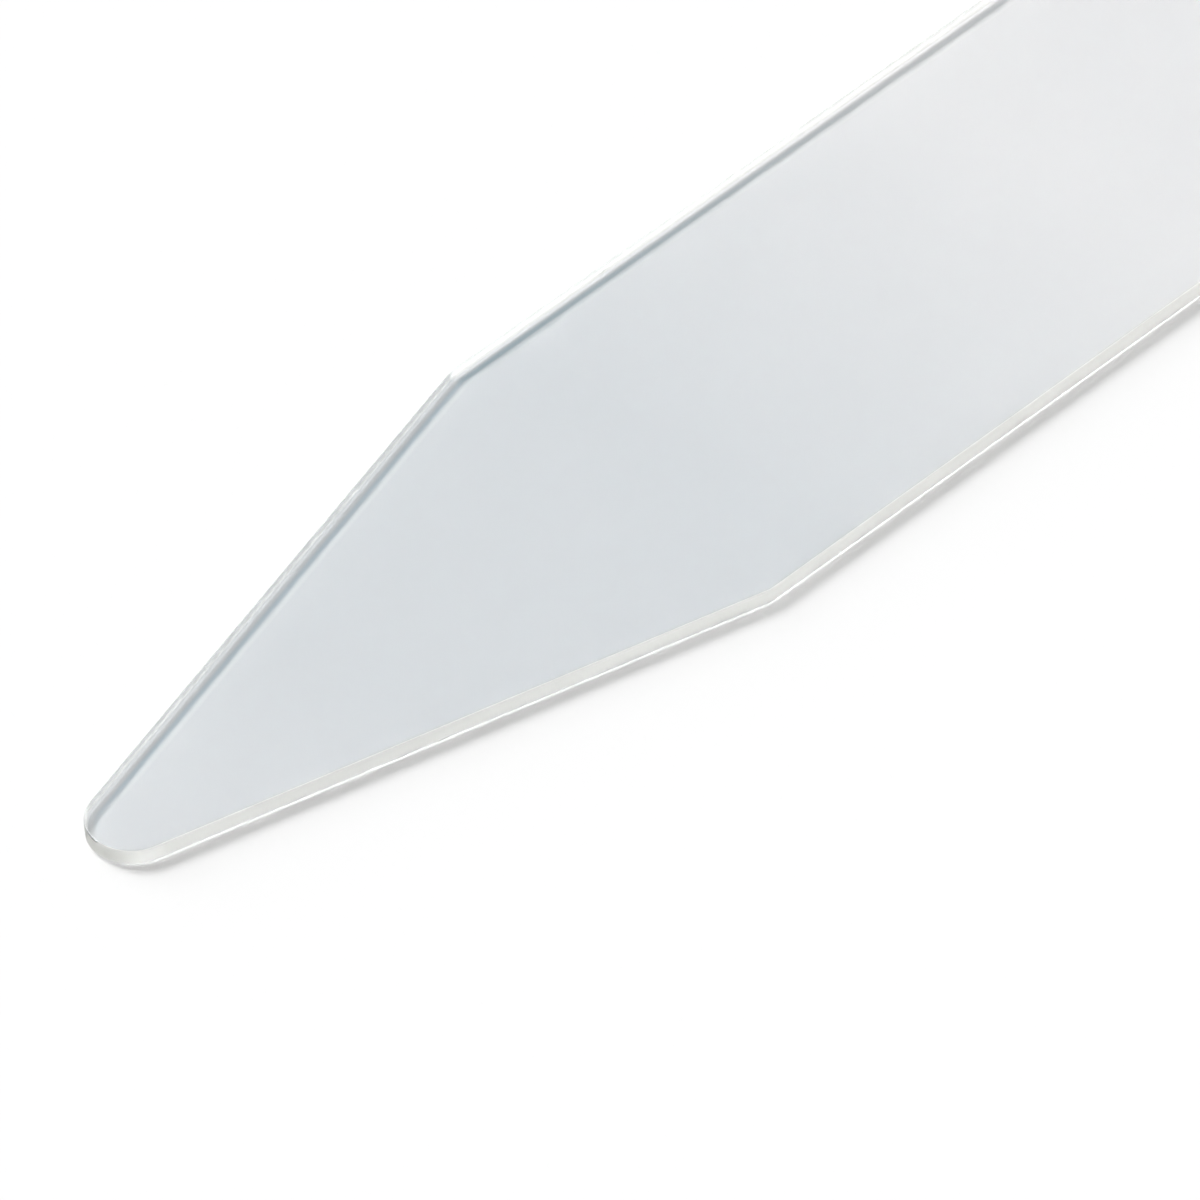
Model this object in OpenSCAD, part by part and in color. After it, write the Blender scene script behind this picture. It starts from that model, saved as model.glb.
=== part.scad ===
// A collar stay: one flat blade cut from clear plastic sheet, lying on its underside.
// It runs along X, with the rounded point towards -X and the round head towards +X.
// The origin is the middle of its length and width, on the underside.

/* [Blade] */
// Overall length, from the tip of the point to the crown of the head
stay_l = 63.5; // [50:0.5:76]
// Width between the two straight sides
stay_w = 9.5; // [8:0.1:13]
// Thickness of the sheet that the stay is cut from
sheet_t = 0.4; // [0.3:0.05:0.8]

/* [Point] */
// Length of the tapered point, from its tip to the shoulders
point_l = 15.2; // [10:0.1:20]
// Radius of the tip, seen from above
tip_r = 1; // [0.5:0.1:2]

/* [Edges] */
// Width of the fine bevel that breaks the arris, above and below, all the way round
arris_w = 0.05; // [0.02:0.01:0.1]

/* [Hidden] */
$fn = 96;

// Centres of the two rounded ends; the head is a full round, as wide as the blade
head_r = stay_w / 2;
tip_x = tip_r - stay_l / 2;
head_x = stay_l / 2 - head_r;

// The shoulders, where the taper leaves the straight sides
shoulder_x = point_l - stay_l / 2;
shoulder_y = stay_w / 2;

// Angle between the stay's axis and a tapered side, which runs from a shoulder
// and touches the tip's circle
shoulder_run = shoulder_x - tip_x;
taper_deg = atan2(shoulder_y, shoulder_run) - asin(tip_r / norm([shoulder_run, shoulder_y]));

// Length and width of the strips before they are crossed and the ends cut them off
strip_l = 2 * stay_l;

// Section across a strip of the sheet: its width along X, its thickness along Y
module strip_section(width) {
    edge = width / 2;
    face = edge - arris_w;
    level = sheet_t - arris_w;
    polygon([
        [-face, 0], [face, 0], [edge, arris_w], [edge, level],
        [face, sheet_t], [-face, sheet_t], [-edge, level], [-edge, arris_w]
    ]);
}

// Strip of sheet along X, centred on the stay's axis
module strip(width) {
    rotate([90, 0, 90])
        linear_extrude(height = strip_l, center = true) strip_section(width);
}

// Wide strip whose outer edge is the tapered side on +Y (side 1) or -Y (side -1)
module taper_strip(side) {
    translate([shoulder_x, side * shoulder_y, 0])
        rotate([0, 0, side * taper_deg])
            translate([0, -side * strip_l / 2, 0]) strip(strip_l);
}

// Round of sheet, with the same bevels round its rim
module round_end(radius) {
    rotate_extrude()
        intersection() {
            strip_section(2 * radius);
            square([radius, sheet_t]);
        }
}

// Keeps what lies between the two rounded ends: the cuts at the point run from the
// centre of the tip's circle through the places where the tapered sides touch it.
// It stands past both faces of the sheet by the sheet's own thickness.
module between_ends() {
    reach = stay_w;
    spare = sheet_t;
    cut_x = tip_x - reach * sin(taper_deg);
    cut_y = reach * cos(taper_deg);
    translate([0, 0, -spare])
        linear_extrude(height = sheet_t + 2 * spare)
            polygon([[tip_x, 0], [cut_x, -cut_y], [head_x, -cut_y], [head_x, cut_y], [cut_x, cut_y]]);
}

// The blade: straight sides and tapered sides crossed, with the two round ends let in
module stay() {
    color([0.86, 0.89, 0.91, 0.6]) {
        intersection() {
            strip(stay_w);
            taper_strip(1);
            taper_strip(-1);
            between_ends();
        }
        translate([tip_x, 0, 0]) round_end(tip_r);
        translate([head_x, 0, 0]) round_end(head_r);
    }
}

stay();
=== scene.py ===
# %% [markdown]
# A clear plastic collar stay lies on a pale table. It is one flat blade, cut from sheet
# less than half a millimetre thick. What makes it look like plastic is almost all at its
# rim: the cut wall, its fine arrises, the burr that the cutter leaves, and what the sheet
# does to the light on the table under it. This lesson sets the camera, lights the table,
# draws the section of the rim, mixes the two finishes and wraps the section round the
# blade's outline, in that order.

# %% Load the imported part
import math

import bmesh
import bpy
import numpy as np
from mathutils import Matrix, Vector


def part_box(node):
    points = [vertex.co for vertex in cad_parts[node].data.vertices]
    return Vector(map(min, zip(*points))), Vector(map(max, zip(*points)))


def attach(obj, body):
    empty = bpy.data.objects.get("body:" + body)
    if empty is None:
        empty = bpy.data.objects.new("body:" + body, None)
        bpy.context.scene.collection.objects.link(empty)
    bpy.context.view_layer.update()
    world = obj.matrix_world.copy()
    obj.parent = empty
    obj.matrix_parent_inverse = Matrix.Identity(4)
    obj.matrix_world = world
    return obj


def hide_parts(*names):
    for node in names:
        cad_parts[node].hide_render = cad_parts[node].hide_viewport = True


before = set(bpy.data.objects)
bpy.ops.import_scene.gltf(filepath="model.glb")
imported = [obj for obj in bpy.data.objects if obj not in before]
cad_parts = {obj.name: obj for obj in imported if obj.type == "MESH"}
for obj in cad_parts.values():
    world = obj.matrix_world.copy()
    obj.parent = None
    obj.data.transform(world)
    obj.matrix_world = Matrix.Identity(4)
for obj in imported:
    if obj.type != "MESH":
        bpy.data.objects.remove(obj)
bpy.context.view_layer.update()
MM = 0.001

# %% [markdown]
# The part comes in as one node. Its box gives the length, the width and the thickness of
# the sheet, so none of those sizes is typed in again. A box doesn't show where the
# tapered point begins, so that is read from the part's own corners: the shoulders are the
# first places where the blade is full width. The tip's radius repeats the part's value.

# %% Sizes of the blade, from the part
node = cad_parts["stay"]
low, high = (Vector(corner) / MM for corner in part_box("stay"))
stay_l = high.x - low.x
stay_w = high.y - low.y
sheet_t = high.z - low.z
corners = np.array([vertex.co for vertex in node.data.vertices]) / MM
NEARLY = 0.001
full_width = corners[corners[:, 1] > high.y - NEARLY]
shoulder_x = float(full_width[:, 0].min())
TIP_R = 1.0
tip_x = low.x + TIP_R
head_r = stay_w / 2
taper_run = math.hypot(shoulder_x - tip_x, head_r)
taper = math.atan2(head_r, shoulder_x - tip_x) - math.asin(TIP_R / taper_run)
print("blade", round(stay_l, 2), "by", round(stay_w, 2), "by", round(sheet_t, 3), "mm")
print("shoulder at x", round(shoulder_x, 2), "mm, taper", round(math.degrees(taper), 2), "degrees")

# %% [markdown]
# The photograph was taken from a good way off with a long lens, looking down at about
# 44.5 degrees, with the point coming towards the lower left. A camera fitted to the
# blade's edges gives the elevation, the turn of the blade in the picture and the scale.
# The camera is placed from those few numbers: three directions of its own and a distance.
# It could be turned by hand until it looks right, but a long lens hides small errors of
# angle that the shadow then shows.

# %% Camera at the photograph's angle
PICTURE_W = 1200
ELEVATION = math.radians(44.528)
BLADE_TURN = math.radians(45.395)
FOCAL_PX = 20402
PX_PER_MM = 48.252
SENSOR_MM = 36
CLIP_START = 0.01
# Where the two tapered sides would meet on the table, in the picture and on the blade
POINT_PX = Vector((-4.32, 927.62))
point = Vector((shoulder_x - head_r / math.tan(taper), 0, 0))

right = Vector((math.cos(BLADE_TURN), -math.sin(BLADE_TURN), 0))
away = Vector((math.sin(BLADE_TURN), math.cos(BLADE_TURN), 0))
up = away * math.sin(ELEVATION) + Vector((0, 0, math.cos(ELEVATION)))
back = -away * math.cos(ELEVATION) + Vector((0, 0, math.sin(ELEVATION)))
middle = Vector((PICTURE_W / 2, PICTURE_W / 2))
offset = (POINT_PX - middle) / PX_PER_MM
eye = point - right * offset.x + up * offset.y + back * (FOCAL_PX / PX_PER_MM)

camera = bpy.data.objects.new("camera", bpy.data.cameras.new("camera"))
bpy.context.scene.collection.objects.link(camera)
camera.data.sensor_width = SENSOR_MM
camera.data.lens = SENSOR_MM * FOCAL_PX / PICTURE_W
camera.data.clip_start = CLIP_START
turn = Matrix((right, up, back)).transposed().to_4x4()
camera.matrix_world = Matrix.Translation(eye * MM) @ turn
bpy.context.scene.camera = camera
print("camera at", [round(v, 1) for v in eye], "mm, lens", round(camera.data.lens), "mm")

# %% [markdown]
# Node trees are long to write by hand, so two small helpers come first. One adds a node
# with its settings and its inputs in a single call. The other wraps a socket, so that
# sums in a tree are written as sums in Python. Both work in shader trees and in geometry
# trees alike.

# %% Helpers for node trees
class Sum:
    """A socket that can be added, multiplied and so on, as a Python number can."""

    def __init__(self, tree, socket):
        self.tree = tree
        self.socket = socket

    def maths(self, operation, *values):
        made = node_of(self.tree, "ShaderNodeMath", {"operation": operation}, dict(enumerate(values)))
        return Sum(self.tree, made.outputs[0])

    def __add__(self, other):
        return self.maths("ADD", self, other)

    def __sub__(self, other):
        return self.maths("SUBTRACT", self, other)

    def __rsub__(self, other):
        return self.maths("SUBTRACT", other, self)

    def __mul__(self, other):
        return self.maths("MULTIPLY", self, other)

    def __truediv__(self, other):
        return self.maths("DIVIDE", self, other)

    def __rtruediv__(self, other):
        return self.maths("DIVIDE", other, self)

    def __gt__(self, other):
        return self.maths("GREATER_THAN", self, other)

    __radd__ = __add__
    __rmul__ = __mul__

    def at_least(self, other):
        return self.maths("MAXIMUM", self, other)

    def at_most(self, other):
        return self.maths("MINIMUM", self, other)

    def between(self, start, end):
        """Rises from 0 at start to 1 at end, and stays there."""
        return ((self - start) / (end - start)).at_least(0).at_most(1)

    def cos(self):
        return self.maths("COSINE", self)

    def sin(self):
        return self.maths("SINE", self)

    def tan(self):
        return self.maths("TANGENT", self)


def node_of(tree, kind, settings=None, values=None):
    """Adds one node: its settings first, then a value, a link or a list of links for each socket."""
    made = tree.nodes.new(kind)
    for name, value in (settings or {}).items():
        setattr(made, name, value)
    for name, value in (values or {}).items():
        for one in value if isinstance(value, list) else [value]:
            source = one.socket if isinstance(one, Sum) else one
            if isinstance(source, bpy.types.NodeSocket):
                tree.links.new(source, made.inputs[name])
            else:
                made.inputs[name].default_value = source
    return made


print("helpers for node trees: Sum and node_of")

# %% [markdown]
# A thin clear sheet is drawn by its light. Three soft lights are enough. A key stands
# behind the stay to the left, so the sheet's shadow falls towards the viewer. It is no
# wider than a softbox a few metres off, which keeps the dark strip just inside the far
# edge. That is a strip of table that the key can't reach, because the light which should
# land there is caught in the sheet. A second, much wider lamp in the same quarter gives
# the shadow its long soft tail, and an even dome fills the rest. Area lamps would do as
# well, but a sun lamp keeps the table evenly lit right across the picture.

# %% Lights
KEY_ENERGY = 1.55
KEY_ANGLE = math.radians(22)
KEY_HEIGHT = math.radians(48)
WIDE_ENERGY = 1.8
WIDE_ANGLE = math.radians(56)
WIDE_HEIGHT = math.radians(30)
LAMP_TURN = math.radians(142)
DOME = 0.602


def lamp(name, energy, angle, height):
    """A far lamp in the quarter behind and to the left of the stay, as seen by the camera."""
    made = bpy.data.objects.new(name, bpy.data.lights.new(name, "SUN"))
    bpy.context.scene.collection.objects.link(made)
    made.data.energy = energy
    made.data.angle = angle
    towards = (right * math.cos(LAMP_TURN) + away * math.sin(LAMP_TURN)) * math.cos(height)
    towards.z = math.sin(height)
    made.rotation_euler = towards.to_track_quat("Z", "Y").to_euler()
    return made


lamp("key", KEY_ENERGY, KEY_ANGLE, KEY_HEIGHT)
lamp("wide_key", WIDE_ENERGY, WIDE_ANGLE, WIDE_HEIGHT)
world = bpy.data.worlds.new("studio")
bpy.context.scene.world = world
world.use_nodes = True
world.node_tree.nodes["Background"].inputs["Color"].default_value = (1, 1, 1, 1)
world.node_tree.nodes["Background"].inputs["Strength"].default_value = DOME

# %% [markdown]
# The table is a plain matt sheet that runs far past the picture. It lies a hair below the
# stay, so the two surfaces never fight for the same place.

# %% Table
TABLE_SIDE = 2.0
TABLE_DROP = 0.00002
TABLE_WHITE = 0.8
TABLE_ROUGHNESS = 0.9
half = TABLE_SIDE / 2
table_corners = [(x * half, y * half, -TABLE_DROP) for x, y in ((-1, -1), (1, -1), (1, 1), (-1, 1))]
table_mesh = bpy.data.meshes.new("table")
table_mesh.from_pydata(table_corners, [], [(0, 1, 2, 3)])
table = bpy.data.objects.new("table", table_mesh)
bpy.context.scene.collection.objects.link(table)
table_finish = bpy.data.materials.new("table_finish")
table_finish.use_nodes = True
paper = table_finish.node_tree.nodes["Principled BSDF"]
paper.inputs["Base Color"].default_value = (TABLE_WHITE, TABLE_WHITE, TABLE_WHITE, 1)
paper.inputs["Roughness"].default_value = TABLE_ROUGHNESS
paper.inputs["Specular IOR Level"].default_value = 0.0
table_mesh.materials.append(table_finish)
print("table", TABLE_SIDE, "m square")

# %% [markdown]
# Light enters the sheet, meets the walls many times and comes out again, so the paths
# need many bounces. Nothing may be blurred or clamped on the way, or the table seen
# through the sheet goes dark. The plain view keeps the white table white.

# %% Light paths and view
BOUNCES = 32
DIFFUSE_BOUNCES = 4
scene = bpy.context.scene
scene.cycles.max_bounces = BOUNCES
scene.cycles.glossy_bounces = BOUNCES
scene.cycles.transmission_bounces = BOUNCES
scene.cycles.diffuse_bounces = DIFFUSE_BOUNCES
scene.cycles.blur_glossy = 0.0
scene.cycles.sample_clamp_indirect = 0.0
scene.view_settings.view_transform = "Standard"
print("up to", BOUNCES, "bounces")

# %% [markdown]
# The section of the rim is drawn next, as a chain of points from the middle of the
# underside, out over the edge and back to the middle of the top. Each point has three
# places and three marks. The places are how far it lies inside the outline, its height
# over the table, and whether it sits on the blade's middle line. The marks say how far it
# belongs to the cut wall, to the burr and to the top arris. The cutter came from above. It
# rolled the top arris a little, dragged the wall and left a thin burr hanging from the
# lower arris, which holds the sheet a hair's breadth off the table. The points could all
# be typed in, but two short loops keep the wall and the round arris even.

# %% Section of the rim
GAP = 0.05
BURR_W = 0.045
BURR_TURN = 0.045
BURR_FOOT = 0.09
ARRIS = 0.03
ARRIS_STEPS = 4
WALL_STEPS = 8
WALL_START = 0.06
FLAT_IN = 0.50
ON_FACE, FADING, CUT = 0.0, 0.2, 1.0

# Each row: inset, height, on the middle line, cut, burr, top arris
rows = [
    (FLAT_IN, GAP, 1, ON_FACE, 0, 0),
    (FLAT_IN, GAP, 0, ON_FACE, 0, 0),
    (BURR_FOOT, GAP, 0, FADING, 0, 0),
    (BURR_W, 0.0, 0, CUT, 1, 0),
    (0.0, BURR_TURN, 0, CUT, 1, 0),
]
for k in range(WALL_STEPS + 1):
    rise = (sheet_t - ARRIS - WALL_START) * k / WALL_STEPS
    rows.append((0.0, WALL_START + rise, 0, CUT, 0, 0))
for k in range(1, ARRIS_STEPS + 1):
    angle = math.pi / 2 * k / ARRIS_STEPS
    height = sheet_t - ARRIS * (1 - math.sin(angle))
    rows.append((ARRIS * (1 - math.cos(angle)), height, 0, ON_FACE, 0, 1))
rows.append((FLAT_IN, sheet_t, 0, ON_FACE, 0, 0))
rows.append((FLAT_IN, sheet_t, 1, ON_FACE, 0, 0))

section_mesh = bpy.data.meshes.new("stay_blade")
section_mesh.from_pydata([row[:3] for row in rows], [(k, k + 1) for k in range(len(rows) - 1)], [])
for column, name in ((3, "cut"), (4, "burr"), (5, "arris")):
    values = [row[column] for row in rows]
    section_mesh.attributes.new(name, "FLOAT", "POINT").data.foreach_set("value", values)
blade = bpy.data.objects.new("stay_blade", section_mesh)
scene.collection.objects.link(blade)
print("section of", len(rows), "points")

# %% [markdown]
# A real stay doesn't look the same all over. Its far side catches the light, its taper is cut another way
# than its straight sides, and towards the head its tint is made paler, which is painted light standing in
# for the brighter light there. So both finishes need to know where on the blade a point is. Most of that
# comes from the object's own coordinates, so a pattern stays in place when the camera moves. The rest is an
# attribute named rim, which the blade's mesh will carry: how far along the rim a point is, its height, and
# how far it lies inside the outline. Painted masks could say the same, but they would have to be painted
# again for a blade of another size.

# %% Places on the blade, in millimetres
HEAD_SPAN = (-15, -3)
FAR_SPAN = (0.3, 0.95)
SHOULDER_BLEND = 0.1


class Place:
    """Where a point lies. The shares rise from 0 to 1 over a span along or across the blade."""

    def __init__(self, tree):
        self.point = node_of(tree, "ShaderNodeTexCoord").outputs["Object"]
        self.rim = node_of(tree, "ShaderNodeAttribute", {"attribute_name": "rim"}).outputs["Vector"]
        axes = node_of(tree, "ShaderNodeSeparateXYZ", {}, {0: self.point}).outputs
        rim_axes = node_of(tree, "ShaderNodeSeparateXYZ", {}, {0: self.rim}).outputs
        self.x = Sum(tree, axes["X"])
        self.y = Sum(tree, axes["Y"])
        self.level = Sum(tree, rim_axes["Y"])
        self.inside = Sum(tree, rim_axes["Z"])
        self.to_head = self.along(*HEAD_SPAN)
        self.far_side = self.across(*FAR_SPAN)
        self.past_shoulder = self.along(shoulder_x - SHOULDER_BLEND, shoulder_x + SHOULDER_BLEND)

    def along(self, start, end):
        return self.x.between(start * MM, end * MM)

    def across(self, start, end):
        return self.y.between(start * MM, end * MM)


def noise(tree, vector, scale, detail):
    """Smooth noise between about 0.2 and 0.8."""
    values = {"Vector": vector, "Scale": scale, "Detail": detail}
    return Sum(tree, node_of(tree, "ShaderNodeTexNoise", {}, values).outputs[0])


def stretched(tree, vector, stretch, turn_deg=0):
    """The same coordinates, turned about Z and then scaled along each axis."""
    values = {"Vector": vector, "Rotation": (0, 0, math.radians(turn_deg)), "Scale": stretch}
    return node_of(tree, "ShaderNodeMapping", {"vector_type": "POINT"}, values).outputs[0]


def colour_mix(tree, share, first, second, blend="MIX"):
    """A colour between two others, or the first one multiplied by the second."""
    values = {0: share, 6: first, 7: second}
    settings = {"data_type": "RGBA", "blend_type": blend}
    return node_of(tree, "ShaderNodeMix", settings, values).outputs[2]


print("far side over", FAR_SPAN, "mm across, head end over", HEAD_SPAN, "mm along")

# %% [markdown]
# The faces are the sheet as it came off the roll: clear, with a faint cool tint that is a little paler at
# the very tip, slightly mottled by noise. Towards the head the tint pales as well, and that is painted
# light, making the head end look more brightly lit. Both tints were set against the photograph. The colour
# could come from Volume Absorption in the sheet, but in a blade this thin a tint on its faces looks much
# the same, renders faster and can be baked.

# %% Tint of the faces, paler towards the head as painted light
POINT_TINT = (0.847, 0.867, 0.881, 1)
HEAD_PAINTED_LIGHT_TINT = (0.931, 0.935, 0.939, 1)
TIP_SPAN = (-31, -24)
TIP_CLEAR = 0.28
MOTTLE = 0.03
MOTTLE_SCALE = 260

face = bpy.data.materials.new("sheet_face")
face.use_nodes = True
tree = face.node_tree
spot = Place(tree)
mottle = (noise(tree, spot.point, MOTTLE_SCALE, detail=3) - 0.5) * MOTTLE
at_tip = 1 - spot.along(*TIP_SPAN)
# Painted light: towards the head the tint pales, as if the head end were more brightly lit.
tint_with_head_light = colour_mix(tree, spot.to_head + at_tip * TIP_CLEAR + mottle, POINT_TINT, HEAD_PAINTED_LIGHT_TINT)
print("tint from", POINT_TINT[:3], "to", HEAD_PAINTED_LIGHT_TINT[:3])

# %% [markdown]
# Just inside the far rim, a real stay shows a slate-blue strip on the table, with a thin light line beside
# it. The lamps make most of the strip here too, but it comes out paler and greyer than in the photograph.
# So bands of tint on the underside paint shade into the strip, giving it its depth and hue, each set by
# four distances from the rim in millimetres: where it starts, is full, is still full and ends. The strip is
# painted fainter towards the head. Along the taper two more bands are needed. One is painted shade that
# dims the light that leaks in under the far edge, and one is painted light that lifts the shade next to it.
# A last band, just inside the strip all along the far rim, is painted light too. A painted texture could do
# this too, but these few numbers turn each corner by themselves.

# %% Bands of painted shade and painted light beside the far rim
STRIP_SHADE_TINT = (0.55, 0.73, 0.815, 1)
STRIP_SHADE_BAND = (0.165, 0.245, 0.29, 0.33)
TAPER_STRIP_SHADE_TINT = (0.85, 1.01, 1.10, 1)
TAPER_STRIP_SHADE_BAND = (0.20, 0.25, 0.29, 0.34)
BAND_AT_HEAD = 0.25
LEAK_SHADE_TINT = (0.74, 0.77, 0.79, 1)
LEAK_BAND = (0.07, 0.09, 0.12, 0.15)
LIFT_LIGHT_TINT = (1.15, 1.17, 1.16, 1)
LIFT_BAND = (0.12, 0.15, 0.19, 0.23)
PAINTED_LIGHT_TINT = (1.19, 1.15, 1.11, 1)
PAINTED_LIGHT_BAND = (0.315, 0.36, 0.40, 0.48)
# Shares of the sheet's thickness: below the first one a face is the underside
UNDERSIDE = (0.3, 0.6)

underside = 1 - spot.level.between(*(share * sheet_t for share in UNDERSIDE))
far_rim = spot.far_side * underside


def rim_band(start, full, fade, end):
    """A band along the far rim: 1 in the middle of it, and 0 outside it."""
    return spot.inside.between(start, full) * (1 - spot.inside.between(fade, end)) * far_rim


# Painted shade: the dark strip on the table just inside the far rim, fainter towards the head.
straight = rim_band(*STRIP_SHADE_BAND)
tapered = rim_band(*TAPER_STRIP_SHADE_BAND)
strip = tapered + spot.past_shoulder * (straight - tapered)
strip = strip * (1 + spot.to_head * (BAND_AT_HEAD - 1))
# The leak band is painted shade; the lift and the last band are painted light.
leak = rim_band(*LEAK_BAND) * (1 - spot.past_shoulder)
lift = rim_band(*LIFT_BAND) * (1 - spot.past_shoulder)
painted_light = rim_band(*PAINTED_LIGHT_BAND)
strip_shade_tint = colour_mix(tree, spot.past_shoulder, TAPER_STRIP_SHADE_TINT, STRIP_SHADE_TINT)
tint_with_painted_rim = tint_with_head_light
for share, tint in ((strip, strip_shade_tint), (lift, LIFT_LIGHT_TINT), (leak, LEAK_SHADE_TINT), (painted_light, PAINTED_LIGHT_TINT)):
    tint_with_painted_rim = colour_mix(tree, share, tint_with_painted_rim, tint, "MULTIPLY")
# The painted light of the lift and of the band inside the strip may not take the tint past white
tint_with_painted_rim.node.clamp_result = True
print("dark strip from", STRIP_SHADE_BAND[0], "to", STRIP_SHADE_BAND[-1], "mm inside the rim")

# %% [markdown]
# A stay lives in a drawer or a collar, so its faces carry fine hairlines. Each set is
# noise squeezed into long thin lines at an angle, and cut up by coarser noise so that
# only some stretches show. They make the face a little rougher and, through a Bump node,
# bend its reflections. Scratches cut into the mesh would need far too many faces.

# %% Hairlines and shader of the faces
IOR = 1.5
CLEAR_ROUGHNESS = 0.02
HAZE_SCALE = 900
HAIRLINE_ROUGHNESS = 0.10
HAIRLINE_HEIGHT = 0.0000004
RISING_DEG = 17
FALLING_DEG = -38
LINE_STRETCH = (60, 4200, 1)
LINE_EDGE = (0.70, 0.76)
PATCH_STRETCH = (160, 420, 1)
PATCH_EDGE = (0.50, 0.62)


def hairlines(turn_deg):
    """Thin lines at an angle, broken up so that only some stretches show: 0, and 1 on a line."""
    lines = noise(tree, stretched(tree, spot.point, LINE_STRETCH, turn_deg), 1, detail=0)
    patches = noise(tree, stretched(tree, spot.point, PATCH_STRETCH, turn_deg), 1, detail=1)
    return lines.between(*LINE_EDGE) * patches.between(*PATCH_EDGE)


scratched = hairlines(RISING_DEG) + hairlines(FALLING_DEG)
haze = noise(tree, spot.point, HAZE_SCALE, detail=2)
roughness = CLEAR_ROUGHNESS + haze * CLEAR_ROUGHNESS + scratched * HAIRLINE_ROUGHNESS
relief = node_of(tree, "ShaderNodeBump", {}, {"Height": scratched, "Distance": HAIRLINE_HEIGHT})
plastic = tree.nodes["Principled BSDF"]
plastic.inputs["Transmission Weight"].default_value = 1.0
plastic.inputs["IOR"].default_value = IOR
tree.links.new(tint_with_painted_rim, plastic.inputs["Base Color"])
tree.links.new(roughness.socket, plastic.inputs["Roughness"])
tree.links.new(relief.outputs[0], plastic.inputs["Normal"])
print("finish", face.name, "has", len(tree.nodes), "nodes")

# %% [markdown]
# The cut wall is the same plastic, torn instead of rolled. Four looks are mixed in it.
# Most of it is torn: still clear, but rough. A crushed part is clear and rougher still, a
# matt part is bright by itself, and a whitened part lets light through and scatters it.
# The far wall is the clearest. Its straight side, which a slitter cut, is whitest at the foot, and its
# taper is greyer, with painted shade darkening the taper's foot. More than half of the near wall is matt,
# and the near side of the very tip is whitened. One look with one roughness would be simpler, but it looks
# like polished glass.
# This cell works out how much of each look a place has, with streaks along the rim that
# come from noise, long that way and short across.

# %% Shares of the cut wall's looks
STREAK = 0.28
RIM_STRETCH = (0.4, 26, 1)
# Two spans of height over the table and one of distance from the tip's end, in millimetres
BURR_LEVEL = (0.06, 0.09)
SLIT_LEVEL = (0.05, 0.37)
TIP_END = (0.5, 0.9)
# Shares of the whitened, the matt and the crushed look
FAR_FROST = 0.10
NEAR_FROST = 0.09
SLIT_FROST = 0.235
SLIT_FROST_LOW = 0.635
SLIT_FROST_AT_HEAD = 0.55
TIP_FROST = 0.60
NEAR_MATT = 0.55
FAR_HAZE = 0.19

wall = bpy.data.materials.new("cut_edge")
wall.use_nodes = True
tree = wall.node_tree
spot = Place(tree)
far = spot.far_side
streaks = noise(tree, stretched(tree, spot.rim, RIM_STRETCH), 1, detail=3)
uneven = 1 + (streaks - 0.5) * (2 * STREAK)
slit_side = spot.past_shoulder * spot.across(0, head_r)
on_burr = 1 - spot.level.between(*BURR_LEVEL)
tip_end = (1 - spot.along(low.x + TIP_END[0], low.x + TIP_END[1])) * (1 - far)
slit_frost = SLIT_FROST_LOW + spot.level.between(*SLIT_LEVEL) * (SLIT_FROST - SLIT_FROST_LOW)
slit_frost = slit_frost * (1 + spot.to_head * (SLIT_FROST_AT_HEAD - 1))
frosted = NEAR_FROST + far * (FAR_FROST - NEAR_FROST) + slit_side * slit_frost
frosted = (frosted + tip_end * TIP_FROST) * uneven
matted = (1 - far) * (1 - on_burr) * (1 - tip_end) * NEAR_MATT * uneven
hazy = far * FAR_HAZE * uneven
print("whitened", FAR_FROST, "far,", NEAR_FROST, "near and", TIP_FROST, "more at the tip")

# %% [markdown]
# Each look is a shader of its own. The two clear ones are Principled shaders with full
# transmission, the matt one is a plain Principled, and the whitened one is Translucent.
# Three Mix Shaders put them together. One Principled with a transmission that varies would be shorter, but
# that socket can't be baked for another program. What varies here goes only into base colours, roughness
# and mixing factors, which can.

# %% Shader of the cut wall
FAR_ROUGHNESS = 0.15
NEAR_ROUGHNESS = 0.65
BURR_ROUGHNESS = 0.35
ROUGHNESS_LEAST = 0.8
ROUGHNESS_SPREAD = 0.4
MATT_ROUGHNESS = 0.9
CRUSHED_ROUGHNESS = 1.0
TAPER_TINT = (0.91, 0.925, 0.935, 1)
# Painted shade: the taper's wall is darker at its foot, to dim the light that comes through there.
TAPER_FOOT_SHADE_TINT = (0.64, 0.68, 0.70, 1)
TAPER_LOW_LEVEL = (0.06, 0.09)
SLIT_TINT = (0.98, 0.985, 0.985, 1)
NEAR_TINT = (0.98, 0.98, 0.945, 1)
MATT_TINT = (0.99, 0.995, 0.95, 1)
FROST_TINT = (1.0, 1.0, 0.98, 1)
TAPER_FROST_TINT = (0.76, 0.765, 0.765, 1)

near_roughness = NEAR_ROUGHNESS + on_burr * (BURR_ROUGHNESS - NEAR_ROUGHNESS)
wall_roughness = near_roughness + far * (FAR_ROUGHNESS - near_roughness)
wall_roughness = wall_roughness * (ROUGHNESS_LEAST + streaks * ROUGHNESS_SPREAD)
# Painted shade at the taper's foot, the real grey of the taper above it.
taper_tint = colour_mix(tree, spot.level.between(*TAPER_LOW_LEVEL), TAPER_FOOT_SHADE_TINT, TAPER_TINT)
far_tint = colour_mix(tree, slit_side, taper_tint, SLIT_TINT)
torn_tint = colour_mix(tree, far, NEAR_TINT, far_tint)
crushed_tint = colour_mix(tree, far * (1 - slit_side), FROST_TINT, TAPER_FROST_TINT)


def plastic_look(tint, roughness, clear):
    """One Principled shader of the plastic, which lets all light through where clear is 1."""
    values = {"Base Color": tint, "Roughness": roughness, "Transmission Weight": clear, "IOR": IOR}
    return node_of(tree, "ShaderNodeBsdfPrincipled", {}, values).outputs[0]


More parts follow.
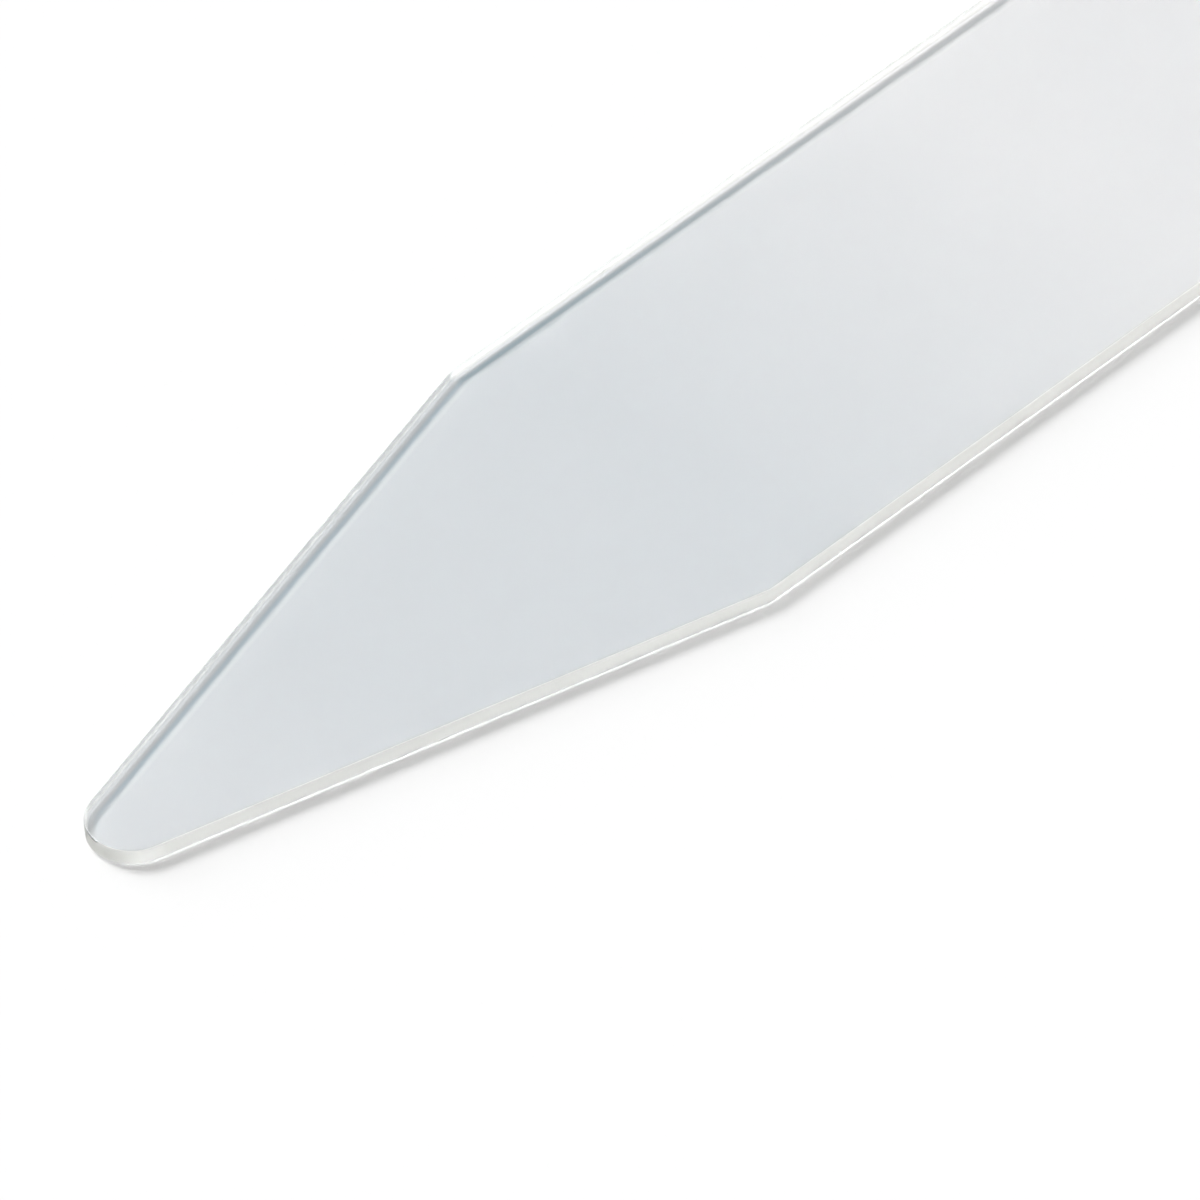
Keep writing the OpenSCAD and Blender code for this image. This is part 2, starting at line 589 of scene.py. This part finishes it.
def shader_mix(share, first, second):
    return node_of(tree, "ShaderNodeMixShader", {}, {0: share, 1: first, 2: second}).outputs[0]


tree.nodes.remove(tree.nodes["Principled BSDF"])
torn = plastic_look(torn_tint, wall_roughness, 1.0)
crushed = plastic_look(crushed_tint, CRUSHED_ROUGHNESS, 1.0)
matt = plastic_look(MATT_TINT, MATT_ROUGHNESS, 0.0)
whitened = node_of(tree, "ShaderNodeBsdfTranslucent", {}, {"Color": FROST_TINT}).outputs[0]
clear_looks = shader_mix(hazy, torn, crushed)
cut_look = shader_mix(frosted, shader_mix(matted, clear_looks, matt), whitened)
tree.links.new(cut_look, tree.nodes["Material Output"].inputs["Surface"])
print("finish", wall.name, "has", len(tree.nodes), "nodes")

# %% [markdown]
# The blade itself follows a rule: the same section goes all the way round one outline.
# Geometry Nodes can wrap it there, as a modifier on the section. A curve with the section
# as its bevel would be quicker to make, but it rounds the shoulders, and a real stay has
# crisp ones. The tree gets its inputs first, so that its sizes and finishes have names
# and can be changed on the modifier without opening the tree.

# %% Geometry tree and its inputs
wrap = bpy.data.node_groups.new("wrap_section", "GeometryNodeTree")


def named_input(name, kind="NodeSocketFloat"):
    """Adds an input to the tree and returns its identifier."""
    return wrap.interface.new_socket(name=name, in_out="INPUT", socket_type=kind).identifier


inputs = {"Section": named_input("Section", "NodeSocketGeometry")}
sizes = {
    "Length": stay_l,
    "Width": stay_w,
    "Point length": shoulder_x - low.x,
    "Tip radius": TIP_R,
    "Taper": taper,
    "Burr gap": GAP,
    "Burr breaks": 0.31,
    "Far wall lean": 0.045,
    "Far bevel": 0.012,
    "Wall waver": 0.003,
    "Seed": 3.0,
}
for name in sizes:
    inputs[name] = named_input(name)
for name in ("Face finish", "Wall finish"):
    inputs[name] = named_input(name, "NodeSocketMaterial")
wrap.interface.new_socket(name="Blade", in_out="OUTPUT", socket_type="NodeSocketGeometry")
given = node_of(wrap, "NodeGroupInput")
size = {name: Sum(wrap, given.outputs[name]) for name in sizes}
print("tree inputs:", list(inputs))

# %% [markdown]
# The section is first swept along a straight rail, where nothing can pinch or twist. The
# rail counts the four stretches of half the rim, one unit each: the tip's arc, the tapered
# side, the straight side and the head's arc. Each has its own number of steps, so that the
# round ones stay smooth. Every point keeps its place on the rail and in the section under
# a name, because it is about to move. A stay's outline is the same on both sides of its
# middle line, so the other half is this strip again, with its faces flipped because it
# will be mirrored.

# %% Sweep the section along a straight rail
# Steps along the tip's arc, the taper, the straight side and the head's arc
STRETCHES = (24, 170, 400, 72)

rails = []
for k, steps in enumerate(STRETCHES):
    values = {"Count": steps + 1, "Start Location": (k, 0, 0), "Offset": (1 / steps, 0, 0)}
    rails.append(node_of(wrap, "GeometryNodeMeshLine", {}, values).outputs[0])
joined = node_of(wrap, "GeometryNodeJoinGeometry", {}, {0: rails}).outputs[0]


def as_curve(mesh):
    return node_of(wrap, "GeometryNodeMeshToCurve", {}, {"Mesh": mesh}).outputs[0]


def stored(geometry, name, value, kind="FLOAT"):
    """Keeps a value on every point under a name."""
    values = {"Geometry": geometry, "Name": name, "Value": value}
    settings = {"data_type": kind, "domain": "POINT"}
    return node_of(wrap, "GeometryNodeStoreNamedAttribute", settings, values).outputs[0]


def kept(name, kind="FLOAT"):
    """Reads a kept value."""
    return node_of(wrap, "GeometryNodeInputNamedAttribute", {"data_type": kind}, {"Name": name}).outputs[0]


where = node_of(wrap, "GeometryNodeInputPosition").outputs[0]
rail = stored(as_curve(joined), "along", where, "FLOAT_VECTOR")
profile = stored(as_curve(given.outputs["Section"]), "section", where, "FLOAT_VECTOR")
values = {"Curve": rail, "Profile Curve": profile}
strip = node_of(wrap, "GeometryNodeCurveToMesh", {}, values).outputs[0]
far_half = stored(strip, "side", 1.0)
turned = node_of(wrap, "GeometryNodeFlipFaces", {}, {"Mesh": strip}).outputs[0]
near_half = stored(turned, "side", -1.0)
halves = node_of(wrap, "GeometryNodeJoinGeometry", {}, {0: [far_half, near_half]}).outputs[0]
print("each half of the rim has", sum(STRETCHES), "steps")

# %% [markdown]
# Next comes the blade's outline. Each place on the rail is given its place on the real
# outline by a formula: the two arcs from a sine and a cosine, and the two sides as straight
# runs between them. The same four shares give the direction to the inside. At the shoulder
# that is the mitre between the two sides, so the corner stays a true corner all the way in.
# A drawn curve could be sampled instead, but then its corners would fall between samples.

# %% Place on the outline, and the direction to its inside
along = Sum(wrap, node_of(wrap, "ShaderNodeSeparateXYZ", {}, {0: kept("along", "FLOAT_VECTOR")}).outputs[0])
done = [along.between(k, k + 1) for k in range(len(STRETCHES))]
round_r = size["Width"] / 2
left_x = size["Tip radius"] - size["Length"] / 2
right_x = size["Length"] / 2 - round_r
corner_x = size["Point length"] - size["Length"] / 2
slope = size["Taper"]
touch_x = left_x - size["Tip radius"] * slope.sin()
touch_y = size["Tip radius"] * slope.cos()
tip_angle = math.pi - done[0] * (math.pi / 2 - slope)
head_angle = math.pi / 2 - done[3] * (math.pi / 2)
outline_x = (
    left_x + size["Tip radius"] * tip_angle.cos() + done[1] * (corner_x - touch_x)
    + done[2] * (right_x - corner_x) + round_r * head_angle.cos()
)
outline_y = (
    size["Tip radius"] * tip_angle.sin() + done[1] * (round_r - touch_y)
    + round_r * (head_angle.sin() - 1)
)
mitre = (slope / 2).tan()
inward_x = tip_angle.cos() + done[1] * (slope.sin() - mitre) + done[2] * mitre + head_angle.cos()
inward_y = tip_angle.sin() + done[1] * (1 - slope.cos()) + head_angle.sin() - 1
print("outline of", len(done), "stretches on each side")

# %% [markdown]
# A cut edge is never quite even, and this blade's two sides aren't cut alike. Only the
# near side keeps its burr, which noise lifts here and there, so the white line along it
# is broken as on the real one. The far wall leans in a little towards its foot, with a
# slight bevel under its straight side. The whole wall wavers by a thousandth or two of a
# millimetre. A bump map could fake all this, but light that goes right through a clear
# sheet is bent by the true shape of its rim.

# %% Uneven burr and wall, and the final place of every point
BURR_NOISE = 3.5
BREAK_EDGE = 0.02
BREAK_LIFT = 0.5
WAVER_NOISE = 0.9
BURR_UNTIL = -0.71
FREE_FROM = -0.60
LEAN_FROM = 0.2
LEAN_TO = 1.0
SHOULDER_MM = 0.1

row = node_of(wrap, "ShaderNodeSeparateXYZ", {}, {0: kept("section", "FLOAT_VECTOR")}).outputs
inset, level, on_middle = (Sum(wrap, row[k]) for k in range(3))
side = Sum(wrap, kept("side"))
here = node_of(wrap, "ShaderNodeCombineXYZ", {}, {0: outline_x, 1: outline_y * side, 2: size["Seed"]})
burr_noise = noise(wrap, here.outputs[0], BURR_NOISE, detail=3)
broken = burr_noise.between(size["Burr breaks"] + BREAK_EDGE, size["Burr breaks"] - BREAK_EDGE)
waver = (noise(wrap, here.outputs[0], WAVER_NOISE, detail=3) - 0.5) * size["Wall waver"]
burr = Sum(wrap, kept("burr"))
cut = Sum(wrap, kept("cut"))
near_arris = Sum(wrap, kept("arris")) * (0.5 - side * 0.5)
inset = inset + waver * cut
level = level + burr * broken * (size["Burr gap"] * BREAK_LIFT)
signed_y = outline_y * side
no_burr = signed_y.between(BURR_UNTIL, FREE_FROM)
leaning = signed_y.between(LEAN_FROM, LEAN_TO)
on_taper = outline_x.between(corner_x + SHOULDER_MM, corner_x - SHOULDER_MM)
bevel = (1 - inset / BURR_W).at_least(0) * leaning * (1 - on_taper) * size["Far bevel"]
level = level.at_least(no_burr * size["Burr gap"] + bevel)
lean = (1 - level / sheet_t).at_most(1) * size["Far wall lean"]
inset = inset + lean * leaning * cut
rim_x = outline_x - inset * inward_x
rim_y = (outline_y - inset * inward_y) * side
middle_x = outline_x.at_least(left_x).at_most(right_x)
place_x = rim_x + on_middle * (middle_x - rim_x)
place_y = rim_y * (1 - on_middle)
placed = node_of(wrap, "ShaderNodeCombineXYZ", {}, {0: place_x, 1: place_y, 2: level})
print("the burr is lifted where its noise is under", sizes["Burr breaks"])

# %% [markdown]
# Last, every point is put in its place, the halves are welded where they meet, and the
# faces are smoothed. Each point also keeps the attribute that the finishes read: how far
# along the rim it is, its height and its inset. The face finish goes on everywhere, and
# then the wall finish on what was cut, which on the near side takes in the rolled top
# arris too. All of this is in millimetres, and one Transform node brings it to metres.

# %% Weld, smooth, finish and scale to metres
WELD_MM = 0.0004
CUT_LEVEL = 0.55
tip_len = size["Tip radius"] * (math.pi / 2 - slope)
taper_len = (corner_x - touch_x) / slope.cos()
around = (
    done[0] * tip_len + done[1] * taper_len + done[2] * (right_x - corner_x)
    + done[3] * round_r * (math.pi / 2)
)
rim_place = node_of(wrap, "ShaderNodeCombineXYZ", {}, {0: around, 1: level, 2: inset})
marked = stored(halves, "rim", rim_place.outputs[0], "FLOAT_VECTOR")
values = {"Geometry": marked, "Position": placed.outputs[0]}
shaped = node_of(wrap, "GeometryNodeSetPosition", {}, values).outputs[0]
values = {"Geometry": shaped, "Distance": WELD_MM}
welded = node_of(wrap, "GeometryNodeMergeByDistance", {}, values).outputs[0]
smooth = node_of(wrap, "GeometryNodeSetShadeSmooth", {}, {0: welded}).outputs[0]
metres = node_of(wrap, "GeometryNodeTransform", {}, {"Geometry": smooth, "Scale": (MM, MM, MM)}).outputs[0]
real = node_of(wrap, "GeometryNodeRealizeInstances", {}, {0: metres}).outputs[0]
values = {"Geometry": real, "Material": given.outputs["Face finish"]}
faced = node_of(wrap, "GeometryNodeSetMaterial", {}, values).outputs[0]
is_cut = cut + near_arris > CUT_LEVEL
values = {"Geometry": faced, "Selection": is_cut, "Material": given.outputs["Wall finish"]}
finished = node_of(wrap, "GeometryNodeSetMaterial", {}, values).outputs[0]
node_of(wrap, "NodeGroupOutput", {}, {0: finished})
print("geometry tree has", len(wrap.nodes), "nodes")

# %% [markdown]
# The tree runs as a modifier on the section. Its result is then kept as a plain mesh, so
# the stay is an ordinary piece for everything that follows. The mesh is checked: it has
# to be closed, and its faces have to look outwards.

# %% Blade mesh
modifier = blade.modifiers.new("wrap_section", "NODES")
modifier.node_group = wrap
for name, value in sizes.items():
    modifier[inputs[name]] = value
modifier[inputs["Face finish"]] = face
modifier[inputs["Wall finish"]] = wall
evaluated = blade.evaluated_get(bpy.context.evaluated_depsgraph_get())
blade_mesh = bpy.data.meshes.new_from_object(evaluated)
blade.modifiers.clear()
blade.data = blade_mesh
for spare in ("along", "section", "side", "cut", "burr", "arris"):
    if spare in blade_mesh.attributes:
        blade_mesh.attributes.remove(blade_mesh.attributes[spare])

# The tree leaves an empty slot before its two finishes, so the slots are laid out again
slots = list(blade_mesh.materials)
is_wall = [slots[polygon.material_index] == wall for polygon in blade_mesh.polygons]
blade_mesh.materials.clear()
blade_mesh.materials.append(face)
blade_mesh.materials.append(wall)
blade_mesh.polygons.foreach_set("material_index", [int(cut_face) for cut_face in is_wall])

checked = bmesh.new()
checked.from_mesh(blade_mesh)
open_edges = [edge for edge in checked.edges if not edge.is_manifold]
volume = checked.calc_volume(signed=True) / MM ** 3
triangles = sum(len(polygon.vertices) - 2 for polygon in blade_mesh.polygons)
checked.free()
print("blade", triangles, "triangles,", len(open_edges), "open edges, volume", round(volume, 1), "cubic mm")
print("finishes:", [m.name for m in blade_mesh.materials])

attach(blade, "root")
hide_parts("stay")
